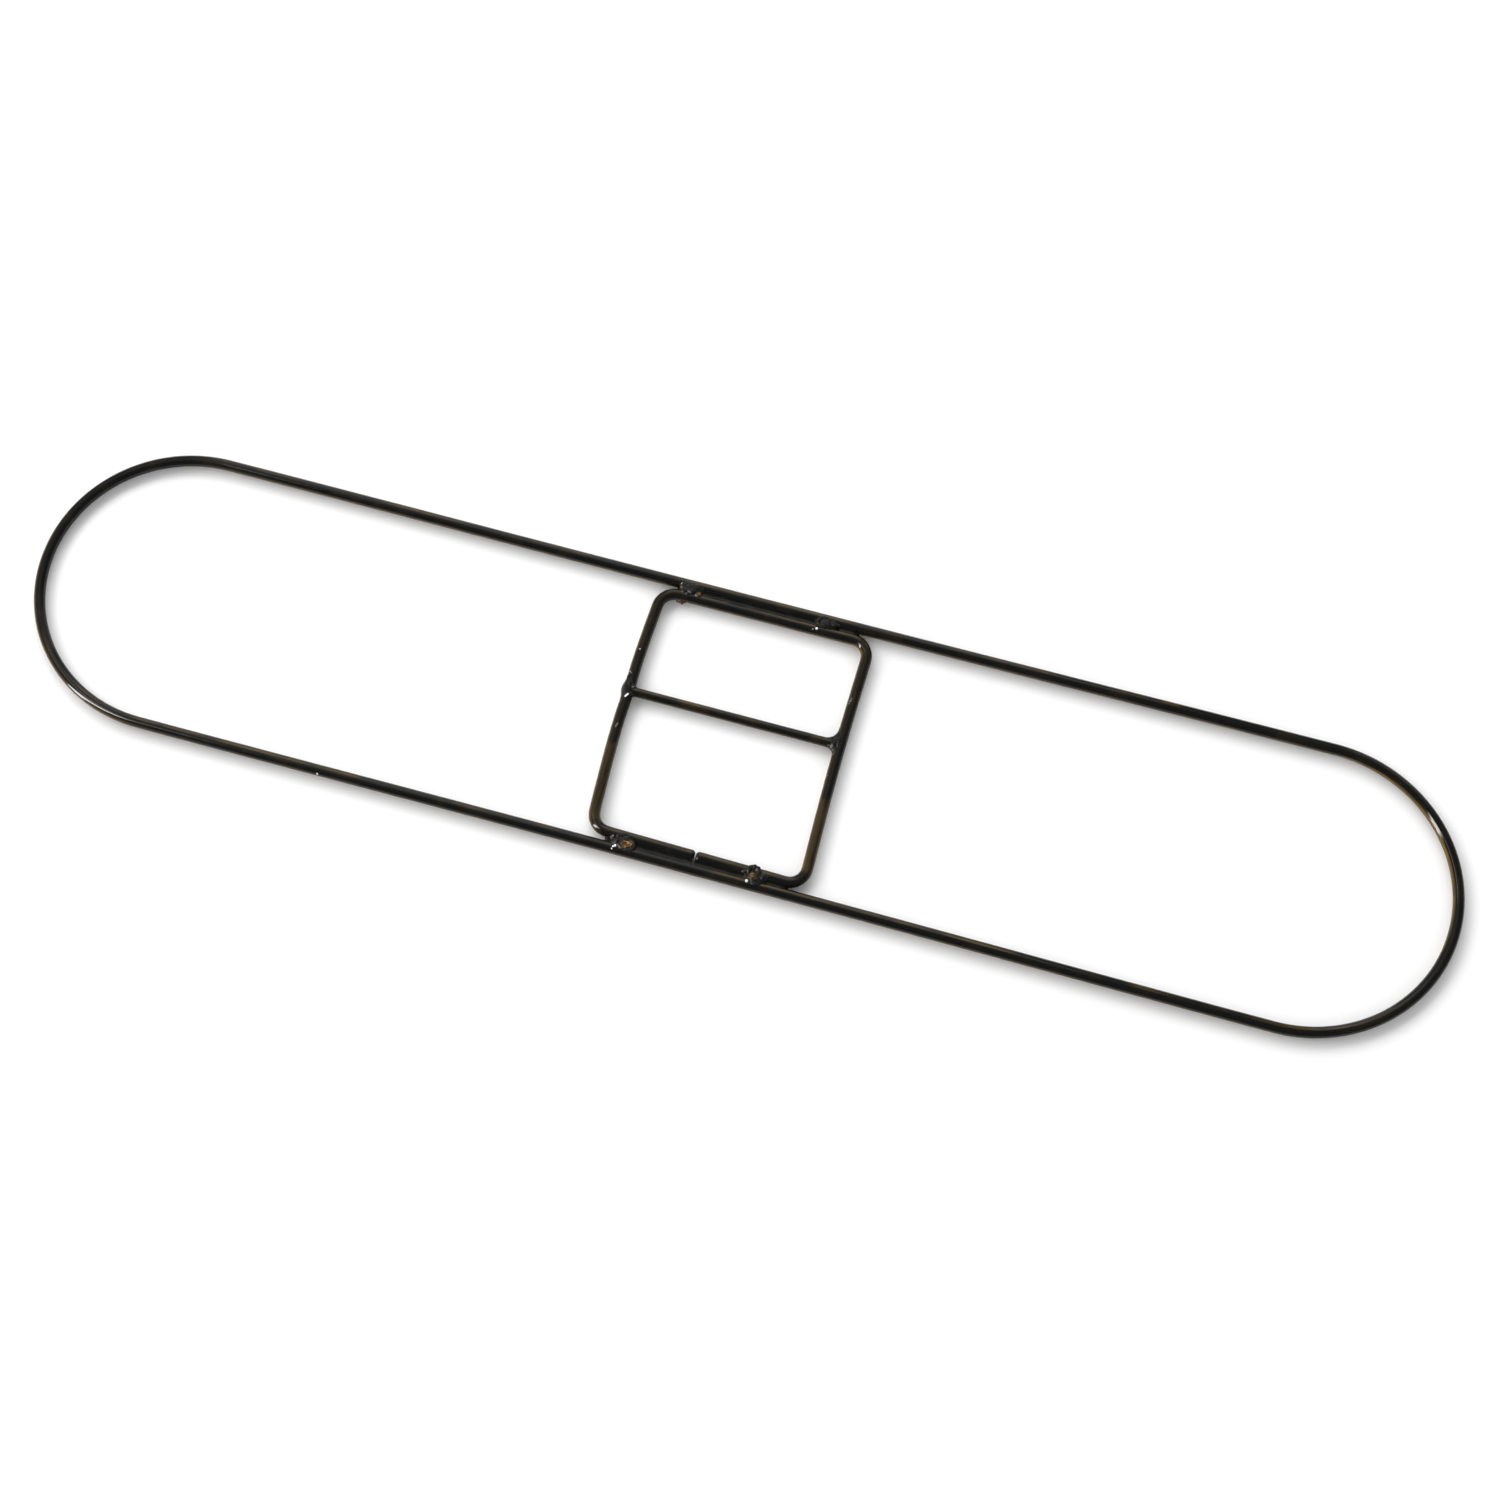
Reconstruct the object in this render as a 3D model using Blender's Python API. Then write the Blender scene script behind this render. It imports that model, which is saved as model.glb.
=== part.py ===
"""Wire frame for a 24 inch dust mop, in metres, +Z up.

Two bent steel rods lie side by side in one plane: a long outer loop with round ends, and a small
square-cornered inner frame whose two ends meet in a butt gap. Four weld beads on the upper side join
the pair. A thinner cross rod bridges the inner frame, and a weld holds each of its ends to a leg. The
clip of a mop handle grips the cross rod, and the loop's ends slip into the pockets of the mop head.

The origin is on the surface that the frame lies on, under the middle of the outer loop. +X runs along
the loop, and +Y is the rear, the side that the cross rod is nearer to.
"""

import math

import bmesh
import bpy
from mathutils import Matrix, Vector

INCH = 0.0254

# Rods. Each is a prism of flat facets that touch the round rod's circle, one of them straight down.
FRAME_ROD_RADIUS = 3 / 16 * INCH / 2
CROSS_ROD_RADIUS = 5 / 32 * INCH / 2
ROD_SIDES = 16
ROD_AXIS_HEIGHT = FRAME_ROD_RADIUS
CUT_END_ROUNDING = 0.0006
CUT_END_SHOULDER = 0.3

# Outer loop: overall length over the rod, and the shape of its centreline.
LOOP_LENGTH = 24 * INCH
LOOP_HALF_WIDTH = 0.05935
LOOP_END_REACH = 0.06181
LOOP_WAIST = 0.00056
LOOP_WAIST_HALF_LENGTH = 0.038
LOOP_END_STEPS = 32

# Inner frame: its centreline at the corners, and how its legs bow.
INNER_LEFT = -0.0456
INNER_RIGHT = 0.0451
INNER_REAR = 0.0535
INNER_FRONT = -0.0532
INNER_FRONT_SLOPE = -0.0125
INNER_CORNER_RADIUS = 0.0074
INNER_CORNER_STEPS = 8
LEG_STEPS = 12
LEFT_LEG_BOW = -0.0015
RIGHT_LEG_BOW = -0.0007
LEFT_WELD_PULL = 0.0004
WELD_PULL_REACH = 0.010
BUTT_GAP = 0.00045
BUTT_GAP_X = -0.0005

# Cross rod. Under its welds it is melted down a little, towards its ends.
CROSS_ROD_Y = 0.0076
CROSS_ROD_MELT = 0.0001

# Welds. Every bead keeps this gap to the rods that it joins.
WELD_GAP = 0.0003
WELD_RIPPLE = 0.05
GROOVE_KEEL_HEIGHT = 0.00345
# Beads over the groove between the loop and the inner frame: middle, then half sizes.
GROOVE_WELDS = {
    "rear_left_weld": (Vector((-0.0335, 0.0562, 0.0037)), Vector((0.0046, 0.0034, 0.0020))),
    "rear_right_weld": (Vector((0.0252, 0.0561, 0.0037)), Vector((0.0050, 0.0036, 0.0021))),
    "front_left_weld": (Vector((-0.0308, -0.0560, 0.0037)), Vector((0.0051, 0.0038, 0.0021))),
    "front_right_weld": (Vector((0.0252, -0.0558, 0.0038)), Vector((0.0049, 0.0044, 0.0022))),
}
LEFT_CROSS_WELD_MIDDLE = Vector((-0.0462, 0.0082, 0.0041))
LEFT_CROSS_WELD_HALF = Vector((0.0038, 0.0051, 0.0018))
LEFT_CROSS_WELD_FOOT = 0.0030

# Right cross weld: a saddle over the rod's end that flares towards the leg.
SADDLE_START = 0.0385
SADDLE_END = 0.0450
SADDLE_STEPS = 8
SADDLE_ARC_STEPS = 12
SADDLE_HALF_WIDTH = 0.0029
SADDLE_FRONT_FLARE = 0.0022
SADDLE_REAR_FLARE = 0.0040
SADDLE_CROWN = 0.0053
SADDLE_CROWN_RISE = 0.0004
SADDLE_FOOT = 0.0005
SADDLE_ARCH_POWER = 0.6

LACQUER_BLACK = (0.020, 0.019, 0.016, 1.0)
LACQUER_OVER_WELD = (0.030, 0.025, 0.018, 1.0)
ROD_ROUGHNESS = 0.22
WELD_ROUGHNESS = 0.30


def clear_objects():
    for leftover in list(bpy.data.objects):
        bpy.data.objects.remove(leftover, do_unlink=True)


def lacquer(name, colour, roughness):
    """Lacquered steel: a Principled material of its own for each piece."""
    material = bpy.data.materials.new(name + "_lacquer")
    material.use_nodes = True
    shader = material.node_tree.nodes["Principled BSDF"]
    shader.inputs["Base Color"].default_value = colour
    shader.inputs["Roughness"].default_value = roughness
    shader.inputs["Metallic"].default_value = 0.0
    return material


def add_object(name, mesh, location, parent):
    piece = bpy.data.objects.new(name, mesh)
    piece.location = location
    piece.parent = parent
    bpy.context.scene.collection.objects.link(piece)
    return piece


def finish_mesh(bm, name):
    bmesh.ops.recalc_face_normals(bm, faces=bm.faces)
    mesh = bpy.data.meshes.new(name)
    bm.to_mesh(mesh)
    bm.free()
    mesh.shade_smooth()
    mesh.set_sharp_from_angle(angle=math.radians(40))
    return mesh


# Centrelines, as (x, y) points.

def outer_loop_path():
    """Closed, anticlockwise: each end is half an ellipse, and a waist draws in each long run."""
    bend = LOOP_LENGTH / 2 - FRAME_ROD_RADIUS - LOOP_END_REACH
    path = []
    for side in (1, -1):
        for step in range(LOOP_END_STEPS + 1):
            angle = math.pi * (step / LOOP_END_STEPS - 0.5)
            x = bend + LOOP_END_REACH * math.cos(angle)
            y = LOOP_HALF_WIDTH * math.sin(angle)
            path.append(Vector((side * x, side * y)))
        for x in (LOOP_WAIST_HALF_LENGTH, -LOOP_WAIST_HALF_LENGTH):
            path.append(Vector((side * x, side * (LOOP_HALF_WIDTH - LOOP_WAIST))))
    return path


def leg_x(y, corner_x, bow):
    """A leg's centreline: bowed between its corners, and the left one pulled in by its weld."""
    leg_half = INNER_REAR - INNER_CORNER_RADIUS
    x = corner_x + bow * math.cos(math.pi / 2 * min(1.0, abs(y) / leg_half))
    if corner_x < 0:
        offset = (y - CROSS_ROD_Y) / WELD_PULL_REACH
        x += LEFT_WELD_PULL * math.exp(-offset * offset)
    return x


def front_bar_y(x):
    return INNER_FRONT + INNER_FRONT_SLOPE * x


def corner_arc(corner_x, corner_y, first_degrees):
    """A quarter turn, anticlockwise from first_degrees, that rounds the corner at corner_x, corner_y."""
    centre_x = corner_x - math.copysign(INNER_CORNER_RADIUS, corner_x)
    centre_y = corner_y - math.copysign(INNER_CORNER_RADIUS, corner_y)
    arc = []
    for step in range(INNER_CORNER_STEPS + 1):
        angle = math.radians(first_degrees + 90 * step / INNER_CORNER_STEPS)
        x = centre_x + INNER_CORNER_RADIUS * math.cos(angle)
        y = centre_y + INNER_CORNER_RADIUS * math.sin(angle)
        arc.append(Vector((x, y)))
    return arc


def leg(corner_x, bow, first_y, last_y):
    """The points of a leg between the corners that end at first_y and start at last_y."""
    points = []
    for step in range(1, LEG_STEPS):
        y = first_y + (last_y - first_y) * step / LEG_STEPS
        points.append(Vector((leg_x(y, corner_x, bow), y)))
    return points


def inner_frame_path():
    """Open, anticlockwise from the right side of the butt gap to its left side."""
    right_end = BUTT_GAP_X + BUTT_GAP / 2
    left_end = BUTT_GAP_X - BUTT_GAP / 2
    front_right = corner_arc(INNER_RIGHT, front_bar_y(INNER_RIGHT), 270)
    rear_right = corner_arc(INNER_RIGHT, INNER_REAR, 0)
    rear_left = corner_arc(INNER_LEFT, INNER_REAR, 90)
    front_left = corner_arc(INNER_LEFT, front_bar_y(INNER_LEFT), 180)
    path = [Vector((right_end, front_bar_y(right_end)))]
    path += front_right
    path += leg(INNER_RIGHT, RIGHT_LEG_BOW, front_right[-1].y, rear_right[0].y)
    path += rear_right
    path += rear_left
    path += leg(INNER_LEFT, LEFT_LEG_BOW, rear_left[-1].y, front_left[0].y)
    path += front_left
    path.append(Vector((left_end, front_bar_y(left_end))))
    return path


def cross_rod_path():
    """Straight, from leg to leg less the weld gaps. Its middle stretch is clear of the welds."""
    standoff = FRAME_ROD_RADIUS + WELD_GAP
    start = leg_x(CROSS_ROD_Y, INNER_LEFT, LEFT_LEG_BOW) + standoff
    end = leg_x(CROSS_ROD_Y, INNER_RIGHT, RIGHT_LEG_BOW) - standoff
    clear_start = LEFT_CROSS_WELD_MIDDLE.x + LEFT_CROSS_WELD_HALF.x * (1 + WELD_RIPPLE) + WELD_GAP
    clear_end = SADDLE_START - WELD_GAP
    return [Vector((x, CROSS_ROD_Y)) for x in (start, clear_start, clear_end, end)]


# Rods.

def turn_left(direction):
    return Vector((-direction.y, direction.x))


def mitre(before, after):
    """The horizontal step from a path's point to the mitred edge of a rod one unit thick."""
    middle = (turn_left(before) + turn_left(after)).normalized()
    return middle / middle.dot(turn_left(before))


def rounded_ends(path, radius):
    """Path and radii with a small rounding worked into both cut ends."""
    points = list(path)
    radii = [radius] * len(points)
    for end, inward in ((0, 1), (-1, -2)):
        along = (points[inward] - points[end]).normalized()
        tip = points[end].copy()
        points[end] = tip + along * CUT_END_ROUNDING
        shoulder = tip + along * CUT_END_ROUNDING * CUT_END_SHOULDER
        shoulder_radius = radius - CUT_END_ROUNDING * CUT_END_SHOULDER
        extra = [(tip, radius - CUT_END_ROUNDING), (shoulder, shoulder_radius)]
        if end == 0:
            points = [point for point, _ in extra] + points
            radii = [size for _, size in extra] + radii
        else:
            points += [point for point, _ in reversed(extra)]
            radii += [size for _, size in reversed(extra)]
    return points, radii


def rod_mesh(name, path, radii, closed):
    """A rod swept along a level path, with mitred sections and, if it is open, flat ends."""
    corner_radius = 1 / math.cos(math.pi / ROD_SIDES)
    count = len(path)
    bm = bmesh.new()
    rings = []
    for index, point in enumerate(path):
        before = (point - path[index - 1]).normalized()
        after = (path[(index + 1) % count] - point).normalized()
        if not closed and index == 0:
            before = after
        if not closed and index == count - 1:
            after = before
        sideways = mitre(before, after)
        ring = []
        for side in range(ROD_SIDES):
            angle = 2 * math.pi * (side + 0.5) / ROD_SIDES
            across = sideways * (radii[index] * corner_radius * math.cos(angle))
            height = radii[index] * corner_radius * math.sin(angle)
            ring.append(bm.verts.new((point.x + across.x, point.y + across.y, height)))
        rings.append(ring)
    spans = count if closed else count - 1
    for index in range(spans):
        here = rings[index]
        there = rings[(index + 1) % count]
        for side in range(ROD_SIDES):
            following = (side + 1) % ROD_SIDES
            bm.faces.new((here[side], here[following], there[following], there[side]))
    if not closed:
        bm.faces.new(rings[0])
        bm.faces.new(rings[-1])
    return finish_mesh(bm, name)


def lengthened(path, extra):
    """A straight path, longer by extra at both ends."""
    along = (path[-1] - path[0]).normalized() * extra
    return [path[0] - along, *path[1:-1], path[-1] + along]


def build_cutter(name, path, radius, closed, parent):
    """A rod wider by the weld gap, which cuts the welds to shape around the real one."""
    radii = [radius + WELD_GAP] * len(path)
    mesh = rod_mesh(name + "_cutter", path, radii, closed)
    cutter = add_object(name + "_cutter", mesh, (0, 0, ROD_AXIS_HEIGHT), parent)
    cutter.hide_render = True
    cutter.display_type = "WIRE"
    return cutter


def build_rod(name, path, radii, closed, parent):
    mesh = rod_mesh(name, path, radii, closed)
    mesh.materials.append(lacquer(name, LACQUER_BLACK, ROD_ROUGHNESS))
    add_object(name, mesh, (0, 0, ROD_AXIS_HEIGHT), parent)


def build_rods(parent):
    """The three rods, and a cutter for each. The cross rod's is longer, for its ends are in welds."""
    loop = outer_loop_path()
    inner = inner_frame_path()
    cross = cross_rod_path()
    melted = CROSS_ROD_RADIUS - CROSS_ROD_MELT
    build_rod("outer_loop", loop, [FRAME_ROD_RADIUS] * len(loop), True, parent)
    build_rod("inner_frame", *rounded_ends(inner, FRAME_ROD_RADIUS), False, parent)
    build_rod("cross_rod", cross, [melted, CROSS_ROD_RADIUS, CROSS_ROD_RADIUS, melted], False, parent)
    return {
        "outer_loop": build_cutter("outer_loop", loop, FRAME_ROD_RADIUS, True, parent),
        "inner_frame": build_cutter("inner_frame", inner, FRAME_ROD_RADIUS, False, parent),
        "cross_rod": build_cutter(
            "cross_rod", lengthened(cross, WELD_GAP), CROSS_ROD_RADIUS, False, parent),
    }


# Welds.

def cut_with(piece, cutters):
    for cutter in cutters:
        modifier = piece.modifiers.new(cutter.name, "BOOLEAN")
        modifier.operation = "DIFFERENCE"
        modifier.solver = "EXACT"
        modifier.object = cutter


def bead_mesh(name, half_size, foot, phase):
    """A rippled ellipsoid around the origin, cut off level at the height foot."""
    bm = bmesh.new()
    bmesh.ops.create_icosphere(bm, subdivisions=3, radius=1.0, matrix=Matrix.Identity(4))
    for vert in bm.verts:
        direction = vert.co.normalized()
        ripple = math.sin(5 * direction.x + phase) * math.cos(4 * direction.y - phase)
        size = 1 + WELD_RIPPLE * ripple
        vert.co.x = direction.x * half_size.x * size
        vert.co.y = direction.y * half_size.y * size
        vert.co.z = max(foot, direction.z * half_size.z * size)
    flat = [face for face in bm.faces if all(vert.co.z <= foot for vert in face.verts)]
    bmesh.ops.dissolve_faces(bm, faces=flat)
    bmesh.ops.triangulate(bm, faces=bm.faces)
    return finish_mesh(bm, name)


def build_bead(name, middle, half_size, foot, phase, cutters, parent):
    mesh = bead_mesh(name, half_size, foot - middle.z, phase)
    mesh.materials.append(lacquer(name, LACQUER_OVER_WELD, WELD_ROUGHNESS))
    piece = add_object(name, mesh, middle, parent)
    cut_with(piece, cutters)


def saddle_section(x):
    """The saddle's outline at x: an arch from the rear foot over the crown to the front foot."""
    share = max(0.0, (x - SADDLE_START) / (SADDLE_END - SADDLE_START))
    crown = SADDLE_CROWN + SADDLE_CROWN_RISE * share
    arch = []
    for step in range(SADDLE_ARC_STEPS + 1):
        angle = math.pi * step / SADDLE_ARC_STEPS
        flare = SADDLE_REAR_FLARE if math.cos(angle) > 0 else SADDLE_FRONT_FLARE
        half_width = SADDLE_HALF_WIDTH + flare * share * share
        y = CROSS_ROD_Y + half_width * math.cos(angle)
        height = SADDLE_FOOT + (crown - SADDLE_FOOT) * math.sin(angle) ** SADDLE_ARCH_POWER
        arch.append(Vector((x, y, height)))
    return arch


def build_saddle(name, cutters, parent):
    bm = bmesh.new()
    sections = []
    for step in range(SADDLE_STEPS + 1):
        x = SADDLE_START + (SADDLE_END - SADDLE_START) * step / SADDLE_STEPS
        sections.append([bm.verts.new(point) for point in saddle_section(x)])
    for here, there in zip(sections, sections[1:]):
        count = len(here)
        for index in range(count):
            following = (index + 1) % count
            bm.faces.new((here[index], here[following], there[following], there[index]))
    bm.faces.new(sections[0])
    bm.faces.new(sections[-1])
    mesh = finish_mesh(bm, name)
    mesh.materials.append(lacquer(name, LACQUER_OVER_WELD, WELD_ROUGHNESS))
    piece = add_object(name, mesh, (0, 0, 0), parent)
    cut_with(piece, cutters)


def build_welds(cutters, parent):
    groove_cutters = [cutters["outer_loop"], cutters["inner_frame"]]
    cross_cutters = [cutters["inner_frame"], cutters["cross_rod"]]
    for phase, (name, (middle, half_size)) in enumerate(GROOVE_WELDS.items()):
        build_bead(name, middle, half_size, GROOVE_KEEL_HEIGHT, phase, groove_cutters, parent)
    build_bead(
        "left_cross_weld", LEFT_CROSS_WELD_MIDDLE, LEFT_CROSS_WELD_HALF, LEFT_CROSS_WELD_FOOT,
        len(GROOVE_WELDS), cross_cutters, parent)
    build_saddle("right_cross_weld", cross_cutters, parent)


def main():
    clear_objects()
    origin = bpy.data.objects.new("mop_frame", None)
    bpy.context.scene.collection.objects.link(origin)
    cutters = build_rods(origin)
    build_welds(cutters, origin)


main()
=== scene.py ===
"""Looks of a welded wire frame for a dust mop: glossy black lacquer over bent steel rod.

Lengths are in metres, +Z up. Front is -Y, the side nearer the camera, and rear is +Y.
"""

import math
import random

import bmesh
import bpy
import numpy as np
from mathutils import Euler, Matrix, Vector, noise


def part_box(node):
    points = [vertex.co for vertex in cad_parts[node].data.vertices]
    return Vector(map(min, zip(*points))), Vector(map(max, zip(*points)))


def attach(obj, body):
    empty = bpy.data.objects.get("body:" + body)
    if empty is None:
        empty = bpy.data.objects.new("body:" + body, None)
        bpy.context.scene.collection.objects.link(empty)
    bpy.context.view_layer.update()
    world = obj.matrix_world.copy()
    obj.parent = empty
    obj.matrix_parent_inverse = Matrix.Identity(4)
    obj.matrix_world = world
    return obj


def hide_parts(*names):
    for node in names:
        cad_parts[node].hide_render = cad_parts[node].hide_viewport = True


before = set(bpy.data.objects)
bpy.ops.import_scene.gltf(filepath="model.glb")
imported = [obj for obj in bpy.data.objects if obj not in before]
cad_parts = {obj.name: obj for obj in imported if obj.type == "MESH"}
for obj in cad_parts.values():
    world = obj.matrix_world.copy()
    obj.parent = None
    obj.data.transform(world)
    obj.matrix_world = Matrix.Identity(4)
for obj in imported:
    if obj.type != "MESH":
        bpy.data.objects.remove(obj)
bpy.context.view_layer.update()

MM = 0.001

# Rods: their sizes and middles, read from the frame.
LOOP_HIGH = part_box("outer_loop")[1]
ROD_RADIUS = LOOP_HIGH.z / 2
LOOP_HALF_LENGTH = LOOP_HIGH.x - ROD_RADIUS
LOOP_HALF_WIDTH = LOOP_HIGH.y - ROD_RADIUS
CROSS_LOW, CROSS_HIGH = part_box("cross_rod")
CROSS_RADIUS = (CROSS_HIGH.z - CROSS_LOW.z) / 2
CROSS_Y = (CROSS_HIGH.y + CROSS_LOW.y) / 2
INNER_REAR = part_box("inner_frame")[1].y - ROD_RADIUS

# Centrelines, as the CAD part draws them.
LOOP_END_REACH = 61.81 * MM
LOOP_WAIST = 0.56 * MM
LOOP_WAIST_HALF_LENGTH = 38 * MM
INNER_LEFT = -45.6 * MM
INNER_RIGHT = 45.1 * MM
INNER_FRONT = -53.2 * MM
INNER_FRONT_SLOPE = -0.0125
INNER_CORNER_RADIUS = 7.4 * MM
LEFT_LEG_BOW = -1.5 * MM
RIGHT_LEG_BOW = -0.7 * MM
LEFT_WELD_PULL = 0.4 * MM
WELD_PULL_REACH = 10 * MM
BUTT_GAP = 0.45 * MM
BUTT_GAP_X = -0.5 * MM

# Surface of the rods.
ROD_SIDES = 40
RING_SPACING = 1.2 * MM
CORNER_RINGS_FINER = 2
PATH_SMOOTHINGS = 4
BUTT_ROUNDING = 1.4 * MM
BUTT_ROUNDING_STEPS = 7
# Points of the path nearer to a butt than this are left out, to make room for its rounding.
BUTT_CLEARANCE = BUTT_ROUNDING * 1.2
LACQUER_WAVE = 0.022 * MM
LACQUER_WAVE_LENGTH = 14 * MM
GRIP_MARK = 0.09 * MM
GRIP_MARK_LENGTH = 2.6 * MM
GRIP_REACH = 9 * MM
GRIP_LEAST_SHARE = 0.02
GRIP_NOISE_SHIFT = Vector((7.0, 3.0, 1.0))
# Where the jig and the pliers gripped the legs: middle of each roughened stretch, in plan.
GRIPPED = [
    Vector((-47.1, 25.0)) * MM,
    Vector((-47.1, -9.0)) * MM,
    Vector((44.6, 27.0)) * MM,
    Vector((44.6, -7.0)) * MM,
    Vector((44.4, 14.0)) * MM,
]

# Welds.
VOXEL = 0.14 * MM
LUMP_SUBDIVISIONS = 3
FUSE_SMOOTHINGS = 12
FUSE_SMOOTHING = 0.5
STUB_SINK = 0.09 * MM
STUB_SIDES = 48
WELD_GRAIN = 0.07 * MM
WELD_GRAIN_LENGTH = 1.5 * MM
FINE_GRAIN_SCALE = 2.7
FINE_GRAIN_SHARE = 0.45
# How far the grain's noise is shifted from one weld to the next.
GRAIN_STEPS = (3.7, 1.9, 5.3)
# The share of an amber spot, and of a painted glint, is the first less the second for each radius away,
# held to 0..1.
SPOT_START = 1.6
SPOT_FALL = 1.2
FLUX_STREAK_DEGREES = 38
FLUX_STREAK_SCALES = (0.5, 1.9, 1.0)
STUB_HALF_LENGTH = 7.5 * MM
# Lumps of a ridge: how far apart and how flat, in their own size.
RIDGE_STEP = 0.5
RIDGE_FLATNESS = 0.8
# Spatter, in millimetres: how far it flew along the rods, how far either side of the groove it lies,
# how far it strays from there, how big it is and how deep it sits in the rod.
SPATTER_SEED = 11
SPATTER_COUNT = 4
SPATTER_REACH = 9.0
SPATTER_SIDE = 2.7
SPATTER_STRAY = 0.8
SPATTER_SIZES = (0.18, 0.34)
SPATTER_SINK = 0.10

# Colours, linear.
LACQUER_BLACK = (0.0030, 0.0032, 0.0027, 1.0)
LACQUER_BROWN = (0.0300, 0.0200, 0.0070, 1.0)
# The lacquer's amber tint, painted where the rods catch warm reflections and highlights.
AMBER_REFLECTION = (0.1250, 0.0740, 0.0110, 1.0)
AMBER_DARK = (0.0200, 0.0090, 0.0020, 1.0)
AMBER_BRIGHT = (0.5000, 0.2450, 0.0260, 1.0)
SCALE_GREY = (0.0130, 0.0150, 0.0150, 1.0)
# White of a chip in the lacquer, and of painted glints.
CHIP_AND_GLINT_WHITE = (0.9000, 0.8900, 0.8600, 1.0)
FLOOR_WHITE = (0.82, 0.82, 0.82, 1.0)
FLOOR_PALER = (0.84, 0.84, 0.84, 1.0)

# Painted warm reflection: the lacquer's amber tint is painted on the sides of the rods that face this way,
# left, front and down, where they catch the bright floor and lamps.
REFLECTING_SIDE = (-0.76, -0.56, -0.33)
REFLECTING_SIDE_LEVELS = (0.28, 0.66)
# A painted highlight too: a narrow amber line along their crowns, leaning to the rear, where the lamps
# behind them are reflected.
HIGHLIGHT_CROWN = (0.0, 0.42, 0.91)
HIGHLIGHT_CROWN_LEVELS = (0.966, 0.988)
# That painted highlight line shows in golden stretches: where a slow noise is over the first level, and
# fully so over the second.
GOLDEN_LEVELS = (0.46, 0.60)
GOLDEN_STRENGTH = 0.34
# The golden stretches of painted highlight are mostly around the first point, and on the inner frame around
# the second too, because the noise is raised there.
GOLDEN_MIDDLE = (30 * MM, 0.0, 0.0)
GOLDEN_REACH = 150 * MM
GOLDEN_RAISE = 0.07
GOLDEN_BAR_MIDDLE = (-13 * MM, -53 * MM, 0.0)
GOLDEN_BAR_REACH = 24 * MM
GOLDEN_BAR_RAISE = 0.10
# The inner frame's legs are brown, partly the lacquer's own tone and partly a painted warm reflection that
# the legs catch and the bars don't: the brown starts, and is full, this far either side of the middle.
LEGS_START = 39 * MM
LEGS_FULL = 44 * MM
# Between these two the legs are black, either side of the cross rod.
BLACK_LEG_FRONT = -14 * MM
BLACK_LEG_REAR = 24 * MM
BLACK_LEG_FADE = 2.5 * MM
BLACK_LEG_BROWN = 0.12
REAR_LEG_BROWN = 0.28
# The brown of the legs fades out in the front corners, between these two.
BROWN_LEG_LAST = -51 * MM
BROWN_LEG_FULL = -46 * MM
CORNER_BROWN = 0.2
ROD_BROWNNESS = 0.35
CROSS_ROD_BROWNNESS = 0.9
# Noise scales along the rod and across it, per metre.
DRAW_MARK_SCALES = (35.0, 2100.0, 2100.0)
RUN_SCALES = (70.0, 620.0, 620.0)
# Rims of bare spots wander by this much.
SPOT_RAGGEDNESS = 0.10 * MM
LACQUER_IOR = 1.34
# Pooled lacquer dried duller than the skin on the rods, whose level is 0.5.
POOLED_SPECULAR = 0.36
# A chip in the lacquer on the loop, and painted white glints on the legs: point, radius and strength.
LOOP_CHIPS = [((-160.7 * MM, -60.9 * MM, 3.6 * MM), 0.55 * MM, 0.8)]
LEG_GLINTS = [
    ((-48.2 * MM, 15.2 * MM, 4.1 * MM), 0.28 * MM, 0.50),
    ((-46.9 * MM, 25.6 * MM, 4.7 * MM), 0.36 * MM, 0.40),
    ((-46.8 * MM, -7.8 * MM, 4.75 * MM), 0.42 * MM, 0.10),
    ((-47.0 * MM, -8.5 * MM, 4.75 * MM), 0.48 * MM, 0.13),
    ((-47.2 * MM, -9.3 * MM, 4.75 * MM), 0.42 * MM, 0.10),
    ((43.8 * MM, 27.7 * MM, 4.6 * MM), 0.40 * MM, 0.10),
    ((43.6 * MM, 26.7 * MM, 4.5 * MM), 0.45 * MM, 0.16),
    ((43.3 * MM, 25.6 * MM, 4.4 * MM), 0.40 * MM, 0.10),
    ((42.8 * MM, -6.5 * MM, 4.0 * MM), 0.22 * MM, 0.30),
]


# Camera.

CAMERA_PLACE = Vector((0.10623, -0.25908, 0.97751))
CAMERA_DEGREES = (15.5782, 1.4626, 15.6369)
CAMERA_LENS = 58.88
CAMERA_SENSOR = 36.0


def add_camera():
    data = bpy.data.cameras.new("camera")
    data.lens = CAMERA_LENS
    data.sensor_width = CAMERA_SENSOR
    data.clip_start = 0.01
    data.clip_end = 100.0
    camera = bpy.data.objects.new("camera", data)
    camera.location = CAMERA_PLACE
    camera.rotation_euler = Euler([math.radians(angle) for angle in CAMERA_DEGREES], "XYZ")
    bpy.context.scene.collection.objects.link(camera)
    bpy.context.scene.camera = camera


# Light: a wide wall of soft boxes behind and to the left lights the floor, in a room that is brightest
# low down. The gloss sees boxes of its own at a distance.

ROOM_AT_HORIZON = 2.05
ROOM_OVERHEAD = 0.06
ROOM_SEEN_IN_GLOSS = 0.24
LIGHT_DISTANCE = 4.0
KEY_AZIMUTHS = (103.5, 138, 172.5)
# Elevation of the middle, width and height in degrees, radiance, colour.
KEY_BOX = (31.5, 34.5, 27, 5.2, (1.0, 1.0, 1.0))
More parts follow.
